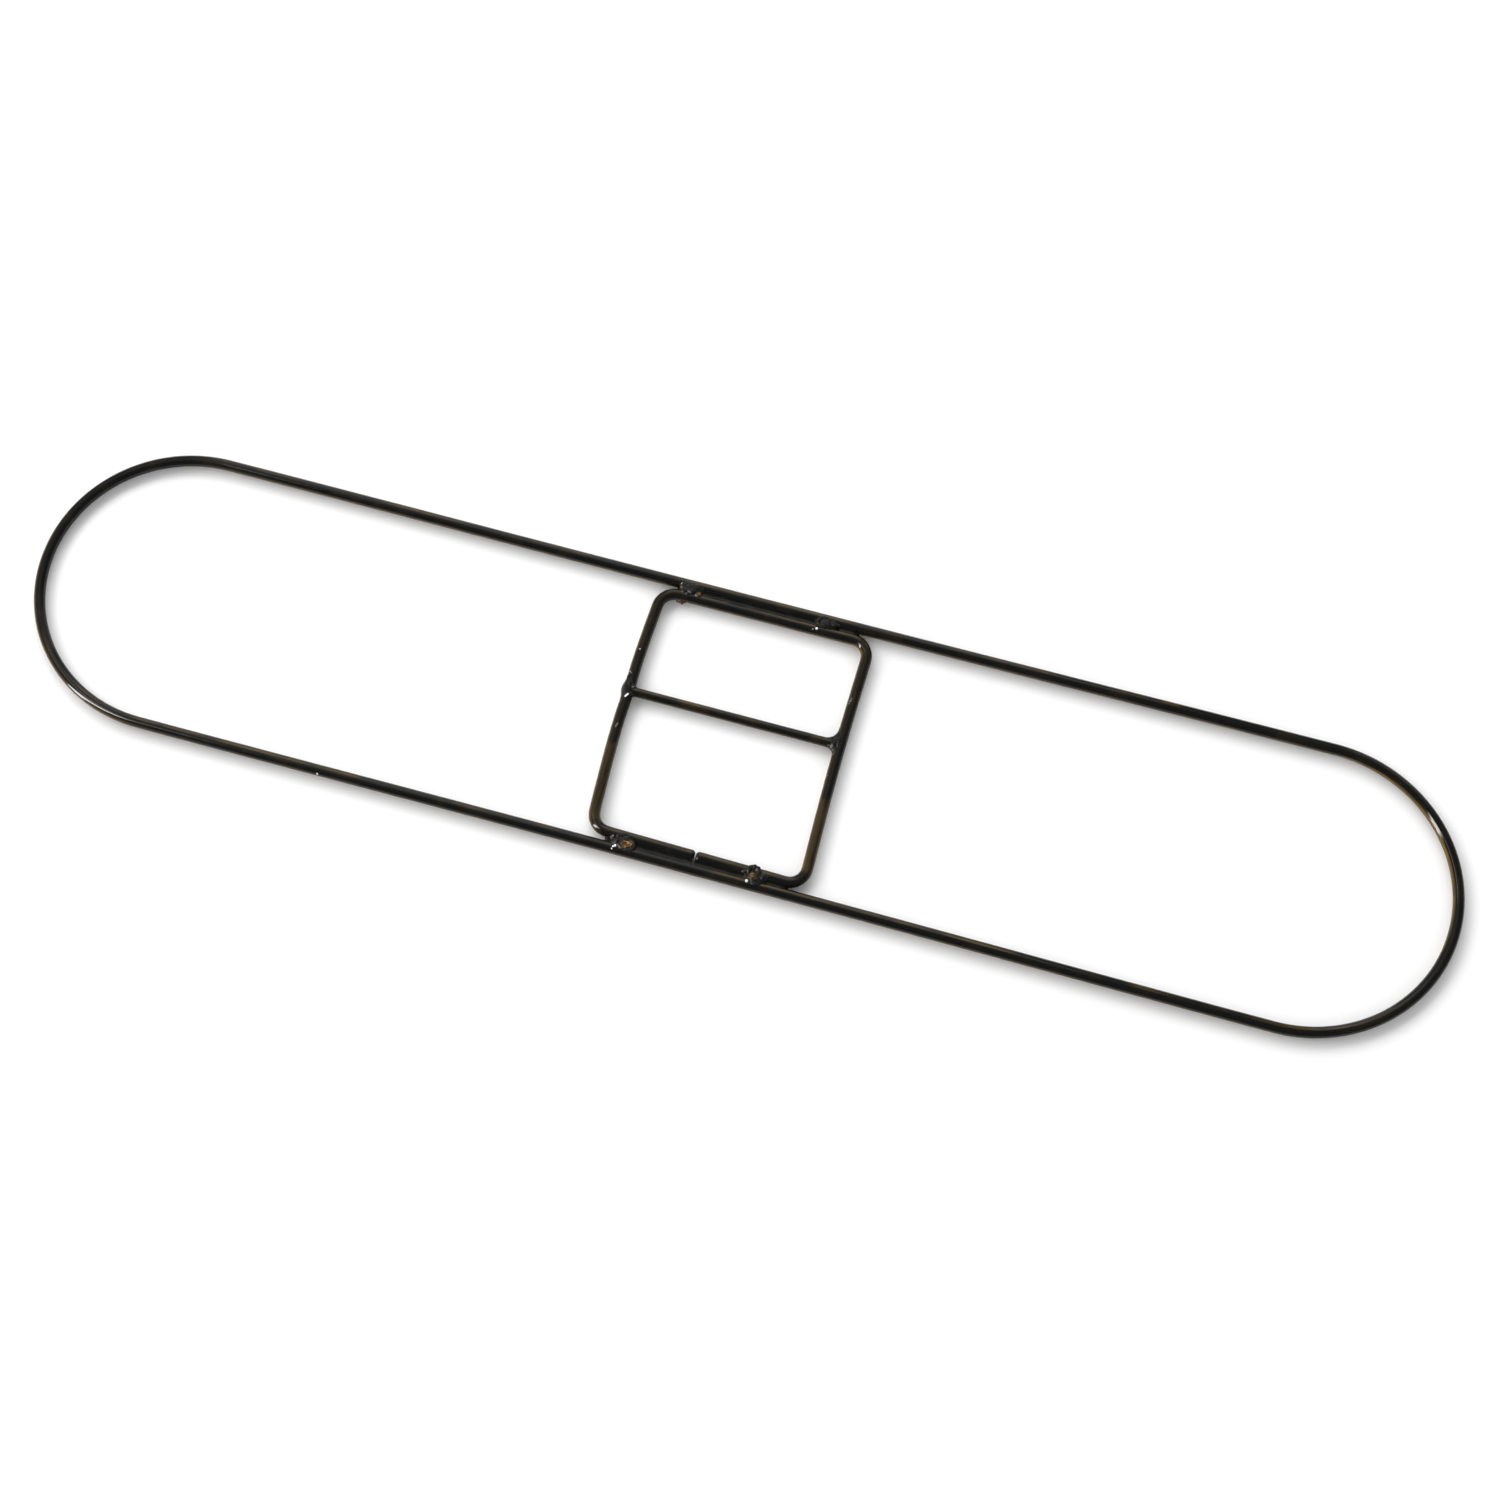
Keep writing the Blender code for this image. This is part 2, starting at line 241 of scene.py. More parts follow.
# Azimuth before those.
GLOSS_BOXES = {
    "tall_strip": (-142, 27, 9.0, 58, 28.0, (1.0, 0.99, 0.97)),
    "strip_top": (-165, 62, 30, 5, 7.0, (1.0, 0.99, 0.97)),
    "warm_wall": (-157, 14, 88, 28, 1.60, (1.0, 0.58, 0.24)),
    "rear_box": (103, 30, 30, 60, 1.25, (1.0, 0.98, 0.94)),
    "rear_right_box": (62, 27, 20, 54, 0.60, (1.0, 0.98, 0.95)),
    "left_box": (150, 42, 56, 60, 0.28, (1.0, 0.96, 0.90)),
    "upper_left_box": (135, 72, 50, 20, 0.40, (1.0, 0.98, 0.95)),
}
RADIANCE_TO_WATTS = math.pi


def add_soft_box(name, azimuth, elevation, wide, high, radiance, colour):
    """A rectangular area light that faces the origin from LIGHT_DISTANCE. Angles are in degrees."""
    data = bpy.data.lights.new(name, "AREA")
    data.shape = "RECTANGLE"
    data.size = 2 * LIGHT_DISTANCE * math.tan(math.radians(wide / 2))
    data.size_y = 2 * LIGHT_DISTANCE * math.tan(math.radians(high / 2))
    data.energy = radiance * RADIANCE_TO_WATTS * data.size * data.size_y
    data.color = colour
    light = bpy.data.objects.new(name, data)
    around = math.radians(azimuth)
    above = math.radians(elevation)
    out = Vector((math.cos(around) * math.cos(above), math.sin(around) * math.cos(above), math.sin(above)))
    light.location = out * LIGHT_DISTANCE
    light.rotation_euler = out.to_track_quat("Z", "Y").to_euler()
    light.visible_camera = False
    bpy.context.scene.collection.objects.link(light)
    return light


def add_lights():
    for azimuth in KEY_AZIMUTHS:
        key = add_soft_box("key_box", azimuth, *KEY_BOX)
        key.visible_glossy = False
    for name, numbers in GLOSS_BOXES.items():
        box = add_soft_box(name, *numbers)
        box.visible_diffuse = False


def add_room():
    """A pale room that darkens overhead, which the gloss sees as even and dim."""
    world = bpy.data.worlds.new("room")
    bpy.context.scene.world = world
    world.use_nodes = True
    tree = world.node_tree
    background = tree.nodes["Background"]
    background.inputs["Color"].default_value = (1.0, 1.0, 1.0, 1.0)
    direction = tree.nodes.new("ShaderNodeTexCoord")
    parts = tree.nodes.new("ShaderNodeSeparateXYZ")
    tree.links.new(direction.outputs["Generated"], parts.inputs["Vector"])
    room = tree.nodes.new("ShaderNodeMapRange")
    room.inputs["To Min"].default_value = ROOM_AT_HORIZON
    room.inputs["To Max"].default_value = ROOM_OVERHEAD
    tree.links.new(parts.outputs["Z"], room.inputs["Value"])
    path = tree.nodes.new("ShaderNodeLightPath")
    strength = tree.nodes.new("ShaderNodeMapRange")
    strength.inputs["To Max"].default_value = ROOM_SEEN_IN_GLOSS
    tree.links.new(path.outputs["Is Glossy Ray"], strength.inputs["Value"])
    tree.links.new(room.outputs["Result"], strength.inputs["To Min"])
    tree.links.new(strength.outputs["Result"], background.inputs["Strength"])


# Materials.

class Nodes:
    """Short ways to add and join the nodes of one material."""

    def __init__(self, name):
        self.material = bpy.data.materials.new(name)
        self.material.use_nodes = True
        self.tree = self.material.node_tree
        self.shader = self.tree.nodes["Principled BSDF"]

    def link(self, value, socket):
        """Sets socket to a plain value, or joins it to another node's output."""
        if isinstance(value, bpy.types.NodeSocket):
            self.tree.links.new(value, socket)
        else:
            socket.default_value = value

    def object_place(self):
        return self.tree.nodes.new("ShaderNodeTexCoord").outputs["Object"]

    def object_normal(self):
        return self.tree.nodes.new("ShaderNodeTexCoord").outputs["Normal"]

    def side_share(self, side, low, high):
        """How far the surface faces side: 0 up to low, rising to 1 at high."""
        node = self.tree.nodes.new("ShaderNodeVectorMath")
        node.operation = "DOT_PRODUCT"
        self.link(self.object_normal(), node.inputs[0])
        node.inputs[1].default_value = side
        return self.spread(node.outputs["Value"], low, high)

    def part_of_place(self, axis):
        node = self.tree.nodes.new("ShaderNodeSeparateXYZ")
        self.link(self.object_place(), node.inputs["Vector"])
        return node.outputs[axis]

    def attribute(self, name, output):
        node = self.tree.nodes.new("ShaderNodeAttribute")
        node.attribute_name = name
        return node.outputs[output]

    def scaled(self, vector, factors):
        node = self.tree.nodes.new("ShaderNodeVectorMath")
        node.operation = "MULTIPLY"
        self.link(vector, node.inputs[0])
        node.inputs[1].default_value = factors
        return node.outputs["Vector"]

    def distance(self, vector, point):
        node = self.tree.nodes.new("ShaderNodeVectorMath")
        node.operation = "DISTANCE"
        self.link(vector, node.inputs[0])
        node.inputs[1].default_value = point
        return node.outputs["Value"]

    def noise(self, vector, scale, detail=3.0, distortion=0.0):
        node = self.tree.nodes.new("ShaderNodeTexNoise")
        node.inputs["Scale"].default_value = scale
        node.inputs["Detail"].default_value = detail
        node.inputs["Distortion"].default_value = distortion
        self.link(vector, node.inputs["Vector"])
        return node.outputs["Fac"]

    def spread(self, value, low, high, to_low=0.0, to_high=1.0):
        """Maps low..high smoothly onto to_low..to_high."""
        node = self.tree.nodes.new("ShaderNodeMapRange")
        node.interpolation_type = "SMOOTHSTEP"
        self.link(value, node.inputs["Value"])
        node.inputs["From Min"].default_value = low
        node.inputs["From Max"].default_value = high
        node.inputs["To Min"].default_value = to_low
        node.inputs["To Max"].default_value = to_high
        return node.outputs["Result"]

    def maths(self, operation, first, second):
        node = self.tree.nodes.new("ShaderNodeMath")
        node.operation = operation
        self.link(first, node.inputs[0])
        self.link(second, node.inputs[1])
        return node.outputs["Value"]

    def mixed(self, share, first, second):
        node = self.tree.nodes.new("ShaderNodeMix")
        node.data_type = "RGBA"
        self.link(share, node.inputs[0])
        self.link(first, node.inputs[6])
        self.link(second, node.inputs[7])
        return node.outputs[2]

    def bumped(self, height, strength, distance, normal=None):
        node = self.tree.nodes.new("ShaderNodeBump")
        node.inputs["Strength"].default_value = strength
        node.inputs["Distance"].default_value = distance
        self.link(height, node.inputs["Height"])
        if normal is not None:
            self.link(normal, node.inputs["Normal"])
        return node.outputs["Normal"]


def spots_share(nodes, place, spots, ragged):
    """The strength of any spot, given as (point, radius, strength), inside it, with a ragged rim."""
    share = None
    for point, radius, strength in spots:
        away = nodes.maths("ADD", nodes.distance(place, point), ragged)
        inside = nodes.spread(away, radius * 1.15, radius * 0.55, 0.0, strength)
        share = inside if share is None else nodes.maths("MAXIMUM", share, inside)
    return share


def gloss(nodes, roughness):
    """The hard gloss that every lacquered piece has."""
    nodes.shader.inputs["IOR"].default_value = LACQUER_IOR
    nodes.link(roughness, nodes.shader.inputs["Roughness"])


def rod_lacquer(name, brown_legs, brownness, glint_and_chip_spots):
    """Black lacquer on drawn wire: brown patches, painted warm reflections, highlights and glints, chips,
    faint draw marks, fine orange peel.
    """
    nodes = Nodes(name)
    place = nodes.object_place()
    along = nodes.attribute("sweep", "Vector")
    draw_marks = nodes.noise(nodes.scaled(along, DRAW_MARK_SCALES), 1.0, 4.0)
    runs = nodes.noise(nodes.scaled(along, RUN_SCALES), 1.0, 4.0, 0.8)
    peel = nodes.noise(place, 1500.0, 3.0)
    dust = nodes.noise(place, 5200.0, 2.0)
    stretches = nodes.noise(nodes.scaled(place, (1.0, 1.0, 0.2)), 21.0, 2.0)
    patches = nodes.spread(nodes.noise(place, 95.0, 4.0, 0.6), 0.45, 0.72, 0.0, brownness)
    brown = nodes.maths("MULTIPLY", patches, nodes.spread(draw_marks, 0.3, 0.75, 0.35, 1.0))
    reflection_breakup = nodes.spread(runs, 0.32, 0.62, 0.25, 1.0)
    # Painted warm reflection on the sides that face left, front and down, broken up along the rod.
    amber_reflection = nodes.maths("MULTIPLY", nodes.side_share(REFLECTING_SIDE, *REFLECTING_SIDE_LEVELS), reflection_breakup)
    away = nodes.distance(place, GOLDEN_MIDDLE)
    near = nodes.spread(away, GOLDEN_REACH, GOLDEN_REACH / 3, 0.0, GOLDEN_RAISE)
    stretches = nodes.maths("ADD", stretches, near)
    if brown_legs:
        away = nodes.distance(place, GOLDEN_BAR_MIDDLE)
        near = nodes.spread(away, GOLDEN_BAR_REACH, GOLDEN_BAR_REACH / 2, 0.0, GOLDEN_BAR_RAISE)
        stretches = nodes.maths("ADD", stretches, near)
    golden = nodes.spread(stretches, *GOLDEN_LEVELS, 0.0, GOLDEN_STRENGTH)
    # Painted highlight: a narrow line along the crowns, in golden stretches.
    crown_highlight = nodes.maths("MULTIPLY", nodes.side_share(HIGHLIGHT_CROWN, *HIGHLIGHT_CROWN_LEVELS), reflection_breakup)
    crown_highlight = nodes.maths("MULTIPLY", crown_highlight, golden)
    amber_reflection = nodes.maths("MAXIMUM", amber_reflection, crown_highlight)
    if brown_legs:
        # The legs' brown is partly a painted warm reflection; it is black either side of the cross rod and
        # fades in the front corners.
        from_middle = nodes.maths("ABSOLUTE", nodes.part_of_place("X"), 0.0)
        legs = nodes.spread(from_middle, LEGS_START, LEGS_FULL)
        edge = nodes.spread(nodes.noise(place, 240.0, 2.0), 0.2, 0.8, -BLACK_LEG_FADE, BLACK_LEG_FADE)
        y = nodes.maths("ADD", nodes.part_of_place("Y"), edge)
        front_start = BLACK_LEG_FRONT - BLACK_LEG_FADE
        front = nodes.spread(y, front_start, BLACK_LEG_FRONT, 1.0, BLACK_LEG_BROWN)
        rear_end = BLACK_LEG_REAR + BLACK_LEG_FADE
        rear = nodes.spread(y, BLACK_LEG_REAR, rear_end, 0.0, REAR_LEG_BROWN)
        corner = nodes.spread(y, BROWN_LEG_LAST, BROWN_LEG_FULL, CORNER_BROWN, 1.0)
        leg_brown_and_reflection = nodes.maths("MULTIPLY", legs, nodes.spread(runs, 0.30, 0.62, 0.25, 1.0))
        leg_brown_and_reflection = nodes.maths("MULTIPLY", leg_brown_and_reflection, nodes.maths("MAXIMUM", front, rear))
        leg_brown_and_reflection = nodes.maths("MULTIPLY", leg_brown_and_reflection, corner)
        brown = nodes.maths("MAXIMUM", brown, leg_brown_and_reflection)
        # Painted warm reflection on the legs' sides that face left, front and down.
        wide = nodes.maths("MULTIPLY", leg_brown_and_reflection, nodes.side_share(REFLECTING_SIDE, 0.0, 0.80))
        amber_reflection = nodes.maths("MAXIMUM", amber_reflection, wide)
    colour = nodes.mixed(brown, LACQUER_BLACK, LACQUER_BROWN)
    colour = nodes.mixed(amber_reflection, colour, AMBER_REFLECTION)
    # Painted white glints, and on the loop a chip.
    if glint_and_chip_spots:
        wander = nodes.noise(place, 2600.0, 3.0)
        ragged = nodes.spread(wander, 0.2, 0.8, -SPOT_RAGGEDNESS, SPOT_RAGGEDNESS)
        glints_and_chips = spots_share(nodes, place, glint_and_chip_spots, ragged)
        colour = nodes.mixed(glints_and_chips, colour, CHIP_AND_GLINT_WHITE)
    nodes.link(colour, nodes.shader.inputs["Base Color"])
    normal = nodes.bumped(draw_marks, 0.05, 0.05 * MM)
    normal = nodes.bumped(peel, 0.04, 0.05 * MM, normal)
    normal = nodes.bumped(dust, 0.02, 0.02 * MM, normal)
    nodes.link(normal, nodes.shader.inputs["Normal"])
    gloss(nodes, nodes.spread(nodes.noise(place, 260.0, 5.0, 0.8), 0.3, 0.75, 0.06, 0.14))
    return nodes.material


def pooled_lacquer(name):
    """Lacquer that ran into a groove: plain black, thick and wavy."""
    nodes = Nodes(name)
    place = nodes.object_place()
    waves = nodes.noise(place, 420.0, 3.0, 0.6)
    colour = nodes.mixed(nodes.spread(waves, 0.50, 0.8, 0.0, 0.15), LACQUER_BLACK, LACQUER_BROWN)
    nodes.link(colour, nodes.shader.inputs["Base Color"])
    nodes.link(nodes.bumped(waves, 0.06, 0.05 * MM), nodes.shader.inputs["Normal"])
    nodes.shader.inputs["Specular IOR Level"].default_value = POOLED_SPECULAR
    gloss(nodes, nodes.spread(waves, 0.3, 0.75, 0.10, 0.20))
    return nodes.material


def weld_lacquer(name):
    """Lacquer over weld scale: dark grey ridges, amber flux and painted white glints where attributes say,
    a painted warm reflection.
    """
    nodes = Nodes(name)
    place = nodes.object_place()
    scale = nodes.noise(place, 700.0, 4.0, 1.0)
    grain = nodes.noise(place, 3000.0, 3.0)
    turned = nodes.tree.nodes.new("ShaderNodeMapping")
    turned.inputs["Rotation"].default_value = (0.0, 0.0, math.radians(-FLUX_STREAK_DEGREES))
    turned.inputs["Scale"].default_value = FLUX_STREAK_SCALES
    nodes.link(place, turned.inputs["Vector"])
    streaks = nodes.noise(turned.outputs["Vector"], 900.0, 4.0, 0.7)
    # Painted white glints, where an attribute says.
    glints_and_chips = nodes.attribute("glints_and_chips", "Fac")
    flux = nodes.attribute("amber", "Fac")
    ragged = nodes.maths("ADD", flux, nodes.spread(scale, 0.3, 0.7, -0.35, 0.10))
    bright = nodes.maths("MULTIPLY", nodes.spread(streaks, 0.45, 0.66), flux)
    amber_colour = nodes.mixed(bright, AMBER_DARK, AMBER_BRIGHT)
    colour = nodes.mixed(nodes.spread(scale, 0.50, 0.75), LACQUER_BLACK, SCALE_GREY)
    patches = nodes.spread(scale, 0.4, 0.6, 0.0, 0.45)
    # Painted warm reflection on the lumps' sides that face left, front and down.
    amber_reflection = nodes.maths("MULTIPLY", nodes.side_share(REFLECTING_SIDE, 0.30, 0.80), patches)
    colour = nodes.mixed(amber_reflection, colour, AMBER_REFLECTION)
    colour = nodes.mixed(nodes.spread(ragged, 0.0, 0.5), colour, amber_colour)
    colour = nodes.mixed(glints_and_chips, colour, CHIP_AND_GLINT_WHITE)
    nodes.link(colour, nodes.shader.inputs["Base Color"])
    normal = nodes.bumped(scale, 0.09, 0.12 * MM)
    normal = nodes.bumped(grain, 0.07, 0.05 * MM, normal)
    nodes.link(normal, nodes.shader.inputs["Normal"])
    gloss(nodes, nodes.spread(scale, 0.35, 0.7, 0.26, 0.46))
    return nodes.material


def floor_material():
    nodes = Nodes("floor_paper")
    place = nodes.object_place()
    fibre = nodes.noise(place, 900.0, 4.0)
    shade = nodes.mixed(nodes.noise(place, 3.0, 2.0), FLOOR_WHITE, FLOOR_PALER)
    nodes.link(shade, nodes.shader.inputs["Base Color"])
    nodes.shader.inputs["Roughness"].default_value = 0.9
    nodes.shader.inputs["Specular IOR Level"].default_value = 0.1
    nodes.link(nodes.bumped(fibre, 0.05, 0.05 * MM), nodes.shader.inputs["Normal"])
    return nodes.material


FLOOR_HALF = 40.0


def add_floor():
    mesh = bpy.data.meshes.new("floor")
    corners = [(-1, -1), (1, -1), (1, 1), (-1, 1)]
    mesh.from_pydata([(x * FLOOR_HALF, y * FLOOR_HALF, 0.0) for x, y in corners], [], [(0, 1, 2, 3)])
    mesh.materials.append(floor_material())
    floor = bpy.data.objects.new("floor", mesh)
    bpy.context.scene.collection.objects.link(floor)


# Centrelines, as (x, y) points.

def smooth_share(value):
    value = min(1.0, max(0.0, value))
    return value * value * (3 - 2 * value)


def run_y(x):
    """How far a long run's centreline is from the loop's middle line: drawn in towards its waist."""
    bend = LOOP_HALF_LENGTH - LOOP_END_REACH
    share = (bend - abs(x)) / (bend - LOOP_WAIST_HALF_LENGTH)
    return LOOP_HALF_WIDTH - LOOP_WAIST * smooth_share(share)


def outer_loop_path():
    """Closed, anticlockwise from the right end's front."""
    bend = LOOP_HALF_LENGTH - LOOP_END_REACH
    end_steps = round(math.pi * LOOP_END_REACH / RING_SPACING)
    run_steps = round(2 * bend / RING_SPACING)
    path = []
    for side in (1, -1):
        for step in range(end_steps):
            angle = math.pi * (step / end_steps - 0.5)
            x = bend + LOOP_END_REACH * math.cos(angle)
            path.append((side * x, side * LOOP_HALF_WIDTH * math.sin(angle)))
        for step in range(run_steps):
            x = bend - 2 * bend * step / run_steps
            path.append((side * x, side * run_y(x)))
    return np.array(path)


def leg_x(y, corner_x, bow):
    leg_half = INNER_REAR - INNER_CORNER_RADIUS
    x = corner_x + bow * math.cos(math.pi / 2 * min(1.0, abs(y) / leg_half))
    if corner_x < 0:
        offset = (y - CROSS_Y) / WELD_PULL_REACH
        x += LEFT_WELD_PULL * math.exp(-offset * offset)
    return x


def left_leg_x(y):
    return leg_x(y, INNER_LEFT, LEFT_LEG_BOW)


def right_leg_x(y):
    return leg_x(y, INNER_RIGHT, RIGHT_LEG_BOW)


def front_bar_y(x):
    return INNER_FRONT + INNER_FRONT_SLOPE * x


def corner_arc(corner_x, corner_y, first_degrees):
    """A quarter turn, anticlockwise from first_degrees, that rounds the corner at corner_x, corner_y."""
    centre_x = corner_x - math.copysign(INNER_CORNER_RADIUS, corner_x)
    centre_y = corner_y - math.copysign(INNER_CORNER_RADIUS, corner_y)
    steps = round(math.pi / 2 * INNER_CORNER_RADIUS / RING_SPACING * CORNER_RINGS_FINER)
    angles = [math.radians(first_degrees + 90 * step / steps) for step in range(steps + 1)]
    return [
        (centre_x + INNER_CORNER_RADIUS * math.cos(a), centre_y + INNER_CORNER_RADIUS * math.sin(a))
        for a in angles
    ]


def between(first, last, curve):
    """Points of the curve about a ring apart, between first and last but without those two."""
    steps = round(abs(last - first) / RING_SPACING)
    return [curve(first + (last - first) * step / steps) for step in range(1, steps)]


def inner_frame_path():
    """Open, anticlockwise from the right side of the butt gap to its left side."""
    right_end = BUTT_GAP_X + BUTT_GAP / 2
    left_end = BUTT_GAP_X - BUTT_GAP / 2
    front_right = corner_arc(INNER_RIGHT, front_bar_y(INNER_RIGHT), 270)
    rear_right = corner_arc(INNER_RIGHT, INNER_REAR, 0)
    rear_left = corner_arc(INNER_LEFT, INNER_REAR, 90)
    front_left = corner_arc(INNER_LEFT, front_bar_y(INNER_LEFT), 180)
    path = [(right_end, front_bar_y(right_end))]
    path += between(right_end, front_right[0][0], lambda x: (x, front_bar_y(x)))
    path += front_right
    path += between(front_right[-1][1], rear_right[0][1], lambda y: (right_leg_x(y), y))
    path += rear_right
    path += between(rear_right[-1][0], rear_left[0][0], lambda x: (x, INNER_REAR))
    path += rear_left
    path += between(rear_left[-1][1], front_left[0][1], lambda y: (left_leg_x(y), y))
    path += front_left
    path += between(front_left[-1][0], left_end, lambda x: (x, front_bar_y(x)))
    path.append((left_end, front_bar_y(left_end)))
    path = np.array(path)
    for _ in range(PATH_SMOOTHINGS):
        path[1:-1] = (path[:-2] + 2 * path[1:-1] + path[2:]) / 4
    return path


def cross_rod_path():
    """Straight, from inside one leg to inside the other."""
    steps = round((INNER_RIGHT - INNER_LEFT) / RING_SPACING)
    start = left_leg_x(CROSS_Y)
    end = right_leg_x(CROSS_Y)
    return np.array([(start + (end - start) * step / steps, CROSS_Y) for step in range(steps + 1)])


# Rods.

def rounded_butts(path, radius):
    """The path and its radii, with both cut ends turned over by BUTT_ROUNDING."""
    ends = []
    for tip, inward in ((path[0], path[1]), (path[-1], path[-2])):
        along = (inward - tip) / np.linalg.norm(inward - tip)
        end = []
        for step in range(BUTT_ROUNDING_STEPS):
            angle = math.pi / 2 * step / BUTT_ROUNDING_STEPS
            depth = BUTT_ROUNDING * (1 - math.sin(angle))
            end.append((tip + along * depth, radius - BUTT_ROUNDING * (1 - math.cos(angle))))
        ends.append(end)
    kept = [
        (point, radius) for point in path
        if min(np.linalg.norm(point - path[0]), np.linalg.norm(point - path[-1])) > BUTT_CLEARANCE
    ]
    rings = ends[0][::-1] + kept + ends[1]
    return np.array([point for point, _ in rings]), np.array([size for _, size in rings])


def grip_share(place):
    """How rough the rod is at a place: 1 in the middle of a gripped stretch, 0 away from it."""
    share = 0.0
    for middle in GRIPPED:
        away = (place.xy - middle).length / GRIP_REACH
        share = max(share, math.exp(-away * away))
    return share


def surface_offset(place):
    """How far the lacquered surface stands off a true round at a place."""
    wave = noise.noise(place / LACQUER_WAVE_LENGTH) * LACQUER_WAVE
    share = grip_share(place)
    if share > GRIP_LEAST_SHARE:
        wave += share * GRIP_MARK * noise.noise(place / GRIP_MARK_LENGTH + GRIP_NOISE_SHIFT)
    return wave


def sweep(name, path, radii, closed):
    """A round rod along a level centreline, with the lacquer's waves and the grip marks in it."""
    if closed:
        ahead = np.roll(path, -1, 0)
        behind = np.roll(path, 1, 0)
    else:
        ahead = np.vstack([path[1:], path[-1:]])
        behind = np.vstack([path[:1], path[:-1]])
    tangent = ahead - behind
    tangent /= np.linalg.norm(tangent, axis=1, keepdims=True)
    sideways = np.column_stack([-tangent[:, 1], tangent[:, 0]])
    lengths = np.concatenate([[0.0], np.cumsum(np.linalg.norm(np.diff(path, axis=0), axis=1))])
    vertices = []
    swept = []
    for point, side, radius, length in zip(path, sideways, radii, lengths):
        for corner in range(ROD_SIDES):
            angle = 2 * math.pi * corner / ROD_SIDES
            out = Vector((side[0] * math.cos(angle), side[1] * math.cos(angle), math.sin(angle)))
            middle = Vector((point[0], point[1], ROD_RADIUS))
            reach = radius + surface_offset(middle + out * radius)
            vertices.append(middle + out * reach)
            swept.append((length, reach * math.cos(angle), reach * math.sin(angle)))
    count = len(path)
    faces = []
    for ring in range(count if closed else count - 1):
        here = ring * ROD_SIDES
        there = (ring + 1) % count * ROD_SIDES
        for corner in range(ROD_SIDES):
            following = (corner + 1) % ROD_SIDES
            faces.append((here + corner, here + following, there + following, there + corner))
    if not closed:
        faces.append(tuple(range(ROD_SIDES)))
        faces.append(tuple(range((count - 1) * ROD_SIDES, count * ROD_SIDES)))
    mesh = bpy.data.meshes.new(name)
    mesh.from_pydata(vertices, [], faces)
    attribute = mesh.attributes.new("sweep", "FLOAT_VECTOR", "POINT")
    attribute.data.foreach_set("vector", np.array(swept, np.float32).ravel())
    outward(mesh)
    mesh.shade_smooth()
    return mesh


def outward(mesh):
    """Turns the faces of a closed mesh outwards."""
    bm = bmesh.new()
    bm.from_mesh(mesh)
    bmesh.ops.recalc_face_normals(bm, faces=bm.faces)
    bm.to_mesh(mesh)
    bm.free()


def add_piece(name, mesh, node=None):
    """A piece on the one body. It stands for the CAD node of that name, if one is given."""
    piece = bpy.data.objects.new(name, mesh)
    bpy.context.scene.collection.objects.link(piece)
    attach(piece, "root")
    if node:
        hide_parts(node)


def add_rods():
    loop = outer_loop_path()
    inner, inner_radii = rounded_butts(inner_frame_path(), ROD_RADIUS)
    cross = cross_rod_path()
    plans = (
        ("outer_loop", loop, np.full(len(loop), ROD_RADIUS), True, LOOP_CHIPS),
        ("inner_frame", inner, inner_radii, False, LEG_GLINTS),
        ("cross_rod", cross, np.full(len(cross), CROSS_RADIUS), False, ()),
    )
    for node, path, radii, closed, glint_and_chip_spots in plans:
        mesh = sweep(node + "_lacquered", path, radii, closed)
        brown_legs = node == "inner_frame"
        brownness = CROSS_ROD_BROWNNESS if node == "cross_rod" else ROD_BROWNNESS
        material = rod_lacquer(node + "_lacquer", brown_legs, brownness, glint_and_chip_spots)
        mesh.materials.append(material)
        add_piece(node + "_lacquered", mesh, node)


# Grooves between the inner frame's bars and the loop, where lacquer pooled and closed the gap.

GROOVE_RINGS_APART = 1.0 * MM
GROOVE_BITE = 0.15 * MM
GROOVE_TOP = 1.80 * MM
GROOVE_HOLLOW = 0.45 * MM
GROOVE_BOTTOM = -0.7 * MM
GROOVE_SIDES = 6
GROOVE_REACH = 39.6 * MM
GROOVE_LEFT_REACH = 38.2 * MM
GROOVE_TAPER = 2.6 * MM
GROOVE_END_SHARE = 0.20
GROOVE_RIPPLE = 0.12
GROOVE_RIPPLE_LENGTH = 5 * MM
REAR_RIPPLE_ROW = 3.0
FRONT_RIPPLE_ROW = 8.0
GROOVE_SHARP_DEGREES = 50
GROOVE_TO_BUTT_GAP = 0.4 * MM
# name: first and last x, and whether it is the rear groove.
GROOVES = {
    "rear_groove_lacquer": (-GROOVE_REACH, GROOVE_REACH, True),
    "front_left_groove_lacquer": (-GROOVE_LEFT_REACH, BUTT_GAP_X - GROOVE_TO_BUTT_GAP, False),
    "front_right_groove_lacquer": (BUTT_GAP_X + GROOVE_TO_BUTT_GAP, GROOVE_REACH, False),
}


